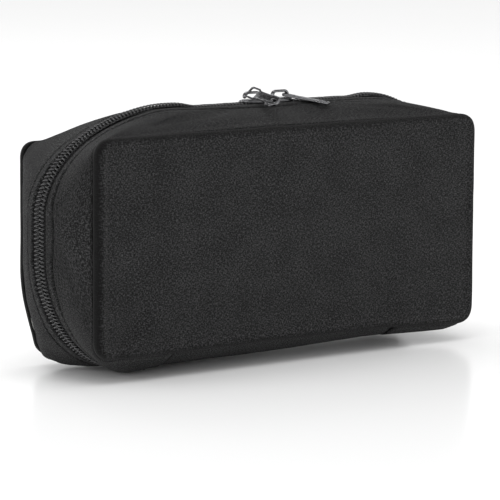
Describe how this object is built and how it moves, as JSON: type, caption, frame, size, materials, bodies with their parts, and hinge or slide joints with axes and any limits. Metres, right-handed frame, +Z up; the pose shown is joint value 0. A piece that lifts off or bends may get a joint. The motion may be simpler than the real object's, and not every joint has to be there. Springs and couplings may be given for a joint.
{
  "type": "travel pill organizer",
  "caption": "Soft zip-round clamshell travel case in dark heathered fabric, with elastic bottle loops, a mesh pocket and two zip sliders on top.",
  "frame": {"origin": "on the standing surface, midway along the length and midway between the outer faces of the two panels", "axes": "+X along the length, -Y out of the front panel, +Z up"},
  "size_m": [0.2376, 0.06, 0.1223],
  "materials": {
    "outer_fabric": "heathered charcoal plain weave polyester, matt",
    "lining_fabric": "smooth grey polyester taffeta lining",
    "foam_board": "closed-cell foam sheet",
    "seam_tape": "black ribbed binding tape",
    "zip_tape": "black woven zip tape",
    "zip_coil": "black nylon coil, satin",
    "elastic": "black ribbed knitted elastic",
    "pocket_mesh": "black polyester mesh",
    "black_nickel": "glossy black nickel plate on die-cast zinc"
  },
  "bodies": {
    "back_half": {"back_panel": "outer_fabric", "back_panel_board": "foam_board", "back_lining": "lining_fabric", "back_gusset": "outer_fabric", "back_gusset_lining": "lining_fabric", "back_bottom_panel": "outer_fabric", "back_seam_binding": "seam_tape", "back_zipper_tape": "zip_tape", "back_zipper_coil": "zip_coil", "upper_elastic_loops": "elastic", "lower_elastic_loops": "elastic"},
    "front_half": {"front_panel": "outer_fabric", "front_panel_board": "foam_board", "front_lining": "lining_fabric", "front_gusset": "outer_fabric", "front_gusset_lining": "lining_fabric", "front_bottom_panel": "outer_fabric", "front_seam_binding": "seam_tape", "front_zipper_tape": "zip_tape", "front_zipper_coil": "zip_coil", "mesh_pocket": "pocket_mesh", "mesh_pocket_hem": "elastic"},
    "left_slider": {"left_slider_body": "black_nickel", "left_slider_crown": "black_nickel"},
    "left_pull": {"left_slider_pull": "black_nickel"},
    "right_slider": {"right_slider_body": "black_nickel", "right_slider_crown": "black_nickel"},
    "right_pull": {"right_slider_pull": "black_nickel"}
  },
  "joints": [
    {"name": "case_opening", "type": "hinge", "parent": "back_half", "child": "front_half", "pos_m": [0, -0.0045, 0], "axis": [1, 0, 0], "range_deg": [0, 175]},
    {"name": "left_slider_travel", "type": "slide", "parent": "back_half", "child": "left_slider", "axis": [-1, 0, 0], "range_m": [0, 0.028]},
    {"name": "right_slider_travel", "type": "slide", "parent": "back_half", "child": "right_slider", "axis": [1, 0, 0], "range_m": [0, 0.022]},
    {"name": "left_pull_flip", "type": "hinge", "parent": "left_slider", "child": "left_pull", "pos_m": [-0.0035, -0.0045, 0.1198], "axis": [-1, 0, 0], "range_deg": [0, 180]},
    {"name": "right_pull_flip", "type": "hinge", "parent": "right_slider", "child": "right_pull", "pos_m": [0.01455, -0.0042, 0.1181], "axis": [-0.6428, -0.766, 0], "range_deg": [0, 100]}
  ]
}
